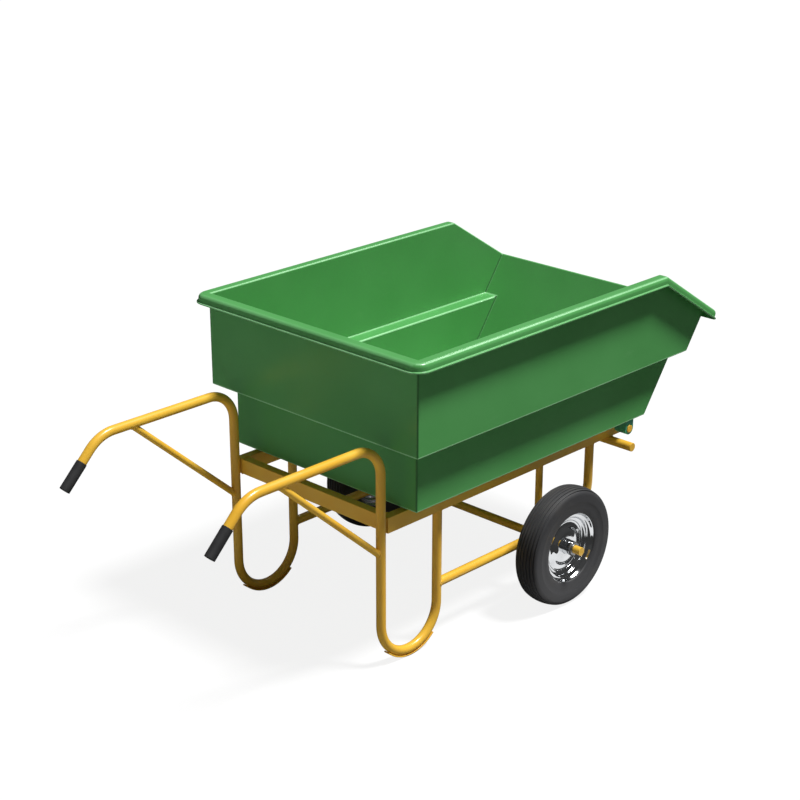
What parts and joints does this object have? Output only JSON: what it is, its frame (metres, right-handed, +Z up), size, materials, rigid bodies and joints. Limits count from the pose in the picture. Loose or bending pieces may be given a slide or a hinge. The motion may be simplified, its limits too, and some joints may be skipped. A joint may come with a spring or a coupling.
{
  "type": "tipping dump cart",
  "caption": "Two-wheeled hand cart with a stepped moulded tub that tips forward on a hinge rod, on a welded tube frame with bent handles and loop legs.",
  "frame": {"origin": "on the ground, in the middle of the footprint, with the tub lying on its rails", "axes": "+X to the operator's right, +Y forward to the pouring lip, +Z up"},
  "size_m": [1.02, 2.129, 1.0213],
  "materials": {
    "tub_green": "satin moulded plastic",
    "ear_green": "dark green paint",
    "frame_yellow": "smooth powder coat",
    "grip_black": "matt",
    "tyre_grey": "matt",
    "tube_rubber": "matt",
    "rim_chrome": "polished",
    "bush_grey": "matt",
    "zinc_steel": "zinc plated"
  },
  "bodies": {
    "frame": {"rail_left": "frame_yellow", "rail_right": "frame_yellow", "rear_cross_member": "frame_yellow", "front_cross_tube": "frame_yellow", "front_tube_caps": "frame_yellow", "hinge_rod": "frame_yellow", "handle_leg_left": "frame_yellow", "handle_leg_right": "frame_yellow", "handle_brace_left": "frame_yellow", "handle_brace_right": "frame_yellow", "grip_left": "grip_black", "grip_right": "grip_black", "leg_shoe_left": "frame_yellow", "leg_shoe_right": "frame_yellow", "lower_tube_rear_left": "frame_yellow", "lower_tube_rear_right": "frame_yellow", "lower_tube_front_left": "frame_yellow", "lower_tube_front_right": "frame_yellow", "axle_strut_left": "frame_yellow", "axle_strut_right": "frame_yellow", "axle_boss_left": "frame_yellow", "axle_boss_right": "frame_yellow", "axle": "frame_yellow", "axle_collars": "frame_yellow", "axle_washers": "zinc_steel", "axle_rings": "zinc_steel"},
    "tub": {"tub": "tub_green", "hinge_ear_left": "ear_green", "hinge_ear_right": "ear_green", "hinge_bolts": "zinc_steel"},
    "wheel_left": {"tyre_left": "tyre_grey", "inner_tube_left": "tube_rubber", "valve_left": "tube_rubber", "rim_left": "rim_chrome", "wheel_disc_left": "rim_chrome", "hub_left": "rim_chrome", "hub_bushes_left": "bush_grey"},
    "wheel_right": {"tyre_right": "tyre_grey", "inner_tube_right": "tube_rubber", "valve_right": "tube_rubber", "rim_right": "rim_chrome", "wheel_disc_right": "rim_chrome", "hub_right": "rim_chrome", "hub_bushes_right": "bush_grey"}
  },
  "joints": [
    {"name": "tub_tip", "type": "hinge", "parent": "frame", "child": "tub", "pos_m": [0, 0.72965, 0.48], "axis": [-1, 0, 0], "range_deg": [0, 120]},
    {"name": "wheel_spin_left", "type": "hinge", "parent": "frame", "child": "wheel_left", "pos_m": [-0.433, 0.33865, 0.2], "axis": [1, 0, 0], "continuous": true},
    {"name": "wheel_spin_right", "type": "hinge", "parent": "frame", "child": "wheel_right", "pos_m": [0.433, 0.33865, 0.2], "axis": [1, 0, 0], "continuous": true}
  ]
}
